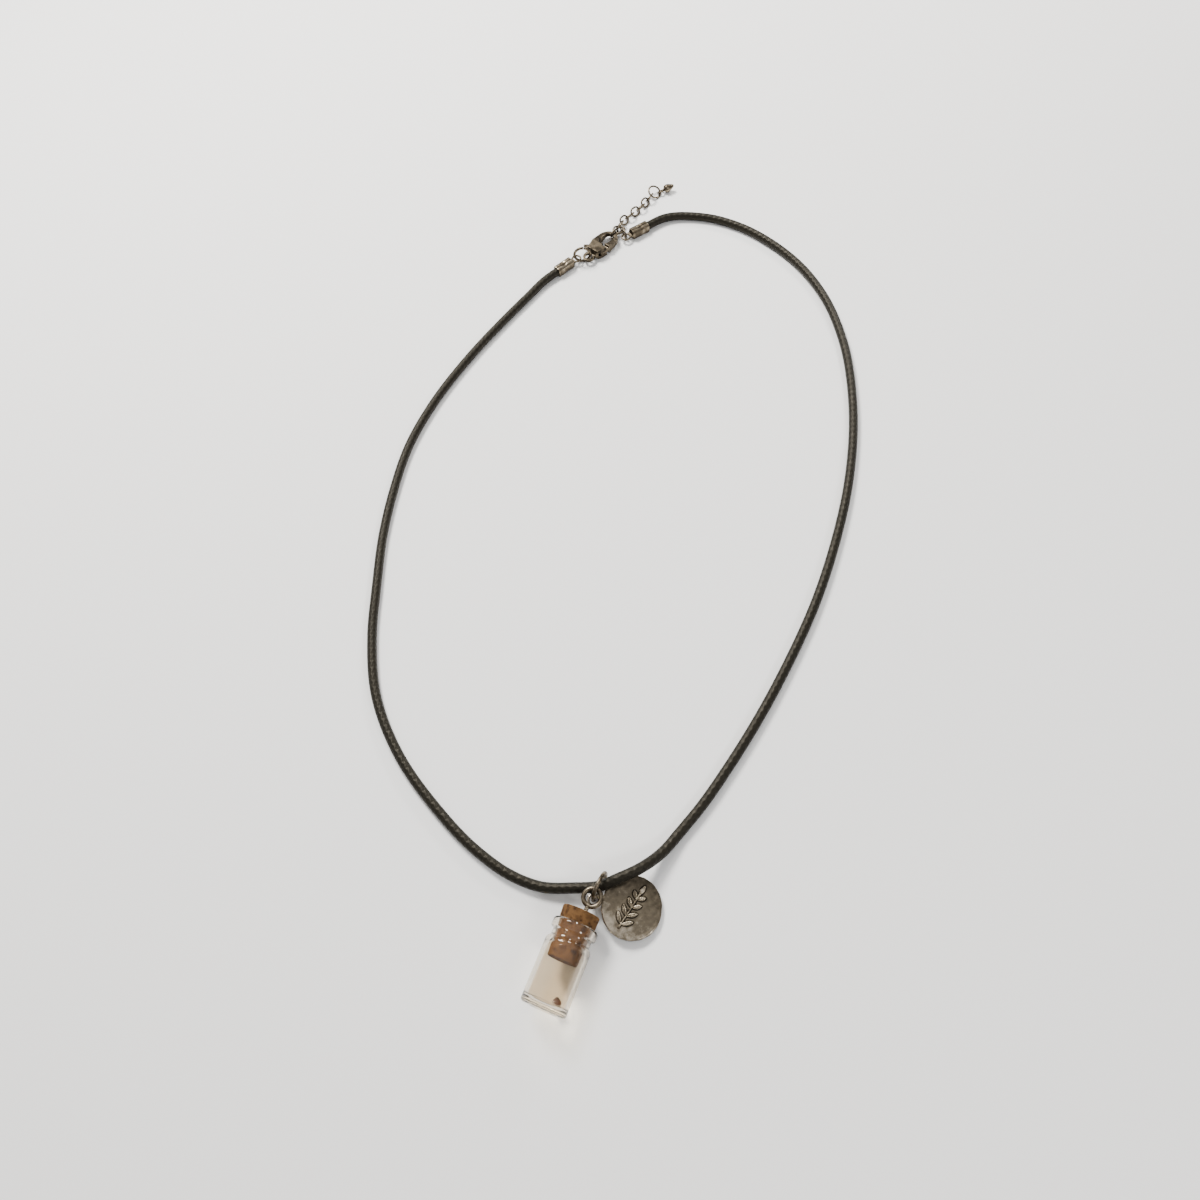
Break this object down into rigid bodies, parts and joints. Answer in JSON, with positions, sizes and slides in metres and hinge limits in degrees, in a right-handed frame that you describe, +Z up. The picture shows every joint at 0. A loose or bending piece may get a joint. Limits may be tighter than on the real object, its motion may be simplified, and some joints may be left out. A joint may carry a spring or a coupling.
{
  "type": "bottle pendant necklace",
  "caption": "Cord necklace with a corked glass bottle holding a seed, a round metal charm, and a lobster clasp with an extender chain.",
  "frame": {"origin": "on the surface it lies on, under the middle of the box round the metal, cork and glass pieces, the cord left out", "axes": "+Y along the bottle from its base to its cork, +X to the right of the bottle seen from above, +Z up from the surface"},
  "size_m": [0.121, 0.2364, 0.01],
  "materials": {
    "cord": "black waxed cord, soft sheen",
    "metal": "antique silver plated metal with dark patina in the hollows",
    "cork": "natural cork with fine pits and grain",
    "glass": "clear thin glass",
    "seed": "dry seed, half matte"
  },
  "bodies": {
    "necklace": {"cord": "cord", "cord_end_left": "metal", "cord_end_right": "metal", "clasp_ring": "metal", "clasp_body": "metal", "chain_link_01": "metal", "chain_link_02": "metal", "chain_link_03": "metal", "chain_link_04": "metal", "chain_link_05": "metal", "chain_link_06": "metal", "chain_link_07": "metal", "chain_link_08": "metal", "chain_link_09": "metal", "chain_link_10": "metal", "chain_link_11": "metal", "end_ring": "metal", "chain_drop": "metal", "pendant_ring": "metal", "screw_eye": "metal", "cork": "cork", "charm": "metal"},
    "lever": {"clasp_lever": "metal"},
    "bottle": {"bottle": "glass", "seed": "seed"}
  },
  "joints": [
    {"name": "lever_hinge", "type": "hinge", "parent": "necklace", "child": "lever", "pos_m": [-0.03915, 0.08537, 0.0015], "axis": [0, 0, 1], "range_deg": [0, 25], "stiffness_Nm_per_rad": 0.0008},
    {"name": "bottle_pull", "type": "slide", "parent": "necklace", "child": "bottle", "axis": [0, -1, 0], "range_m": [0, 0.01]}
  ]
}
